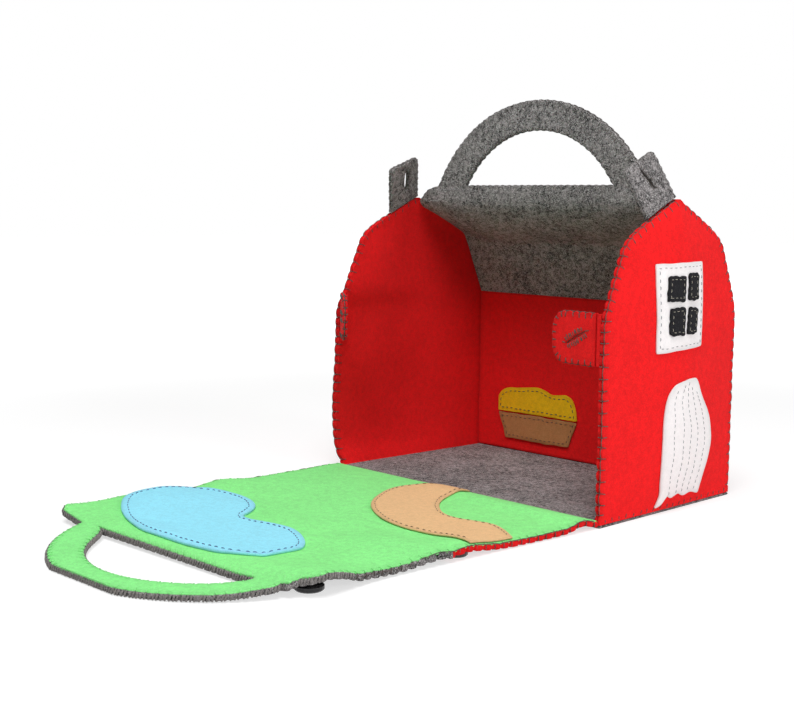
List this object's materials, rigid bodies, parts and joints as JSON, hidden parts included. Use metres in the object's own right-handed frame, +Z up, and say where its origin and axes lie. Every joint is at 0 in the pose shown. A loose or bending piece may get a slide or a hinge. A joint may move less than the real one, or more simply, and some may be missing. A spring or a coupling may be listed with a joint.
{
  "type": "toy barn",
  "caption": "Soft felt toy barn whose front wall and front roof fold down in panels as a play mat, with an arched carrying handle on each half and buttonhole tabs.",
  "frame": {"origin": "centre of the floor's underside, where the barn's own base rests on the ground", "axes": "+Z up, +Y from the open front towards the back wall, +X towards the gable with the window and the door"},
  "size_m": [0.277, 0.4718, 0.2865],
  "materials": {
    "red_felt": "napped felt",
    "grey_felt": "napped felt",
    "green_felt": "napped felt",
    "blue_felt": "napped felt",
    "tan_felt": "napped felt",
    "yellow_felt": "napped felt",
    "brown_felt": "napped felt",
    "white_felt": "napped felt",
    "black_felt": "napped felt",
    "black_button": "gloss"
  },
  "bodies": {
    "barn": {"floor_outer": "grey_felt", "floor_lining": "grey_felt", "right_gable_outer": "red_felt", "right_gable_lining": "red_felt", "left_gable_outer": "red_felt", "left_gable_lining": "red_felt", "back_wall_outer": "red_felt", "back_wall_lining": "red_felt", "back_roof_outer": "grey_felt", "back_roof_lining": "grey_felt", "back_handle_outer": "grey_felt", "back_handle_lining": "grey_felt", "window_frame": "white_felt", "window_pane_lower_front": "black_felt", "window_pane_lower_back": "black_felt", "window_pane_upper_front": "black_felt", "window_pane_upper_back": "black_felt", "barn_door": "white_felt", "hay_heap": "yellow_felt", "trough": "brown_felt", "right_side_tab_seam": "red_felt", "left_side_tab_seam": "red_felt"},
    "front_wall": {"front_wall_outer": "red_felt", "front_wall_lining": "green_felt", "path": "tan_felt", "wall_button_right": "black_button", "wall_button_left": "black_button"},
    "front_steep_roof": {"front_steep_roof_outer": "grey_felt", "front_steep_roof_lining": "green_felt", "pond_eave_half": "blue_felt"},
    "front_shallow_roof": {"front_shallow_roof_outer": "grey_felt", "front_shallow_roof_lining": "green_felt", "pond_ridge_half": "blue_felt", "ridge_button_right": "black_button", "ridge_button_left": "black_button"},
    "front_handle": {"front_handle_outer": "grey_felt", "front_handle_lining": "green_felt"},
    "right_side_tab": {"right_side_tab_outer": "red_felt", "right_side_tab_lining": "red_felt"},
    "left_side_tab": {"left_side_tab_outer": "red_felt", "left_side_tab_lining": "red_felt"},
    "right_peak_tab": {"right_peak_tab_outer": "grey_felt", "right_peak_tab_lining": "grey_felt"},
    "left_peak_tab": {"left_peak_tab_outer": "grey_felt", "left_peak_tab_lining": "grey_felt"}
  },
  "joints": [
    {"name": "front_wall_fold", "type": "hinge", "parent": "barn", "child": "front_wall", "pos_m": [0, -0.0783, 0.0053], "axis": [-1, 0, 0], "range_deg": [0, 88.37]},
    {"name": "front_eave_fold", "type": "hinge", "parent": "front_wall", "child": "front_steep_roof", "pos_m": [0, -0.21001, 0.00904], "axis": [-1, 0, 0], "range_deg": [0, 25.31]},
    {"name": "front_knee_fold", "type": "hinge", "parent": "front_steep_roof", "child": "front_shallow_roof", "pos_m": [0, -0.26572, 0.0087], "axis": [-1, 0, 0], "range_deg": [0, 40.93]},
    {"name": "front_handle_fold", "type": "hinge", "parent": "front_shallow_roof", "child": "front_handle", "pos_m": [0, -0.32509, 0.00404], "axis": [1, 0, 0], "range_deg": [0, 61.23]},
    {"name": "right_side_tab_fold", "type": "hinge", "parent": "barn", "child": "right_side_tab", "pos_m": [0.1257, -0.0732, 0.123], "axis": [0, 0, 1], "range_deg": [0, 93]},
    {"name": "left_side_tab_fold", "type": "hinge", "parent": "barn", "child": "left_side_tab", "pos_m": [-0.1257, -0.0732, 0.123], "axis": [0, 0, 1], "range_deg": [0, 42.5]},
    {"name": "right_peak_tab_fold", "type": "hinge", "parent": "barn", "child": "right_peak_tab", "pos_m": [0.12411, -0.01599, 0.20729], "axis": [0, 0.9008, 0.4343], "range_deg": [-75, 20]},
    {"name": "left_peak_tab_fold", "type": "hinge", "parent": "barn", "child": "left_peak_tab", "pos_m": [-0.12411, -0.01599, 0.20729], "axis": [0, -0.9008, -0.4343], "range_deg": [-66, 29]}
  ],
  "couplings": [
    {"joint": "left_side_tab_fold", "follows": "front_wall_fold", "ratio": 0.4809}
  ]
}
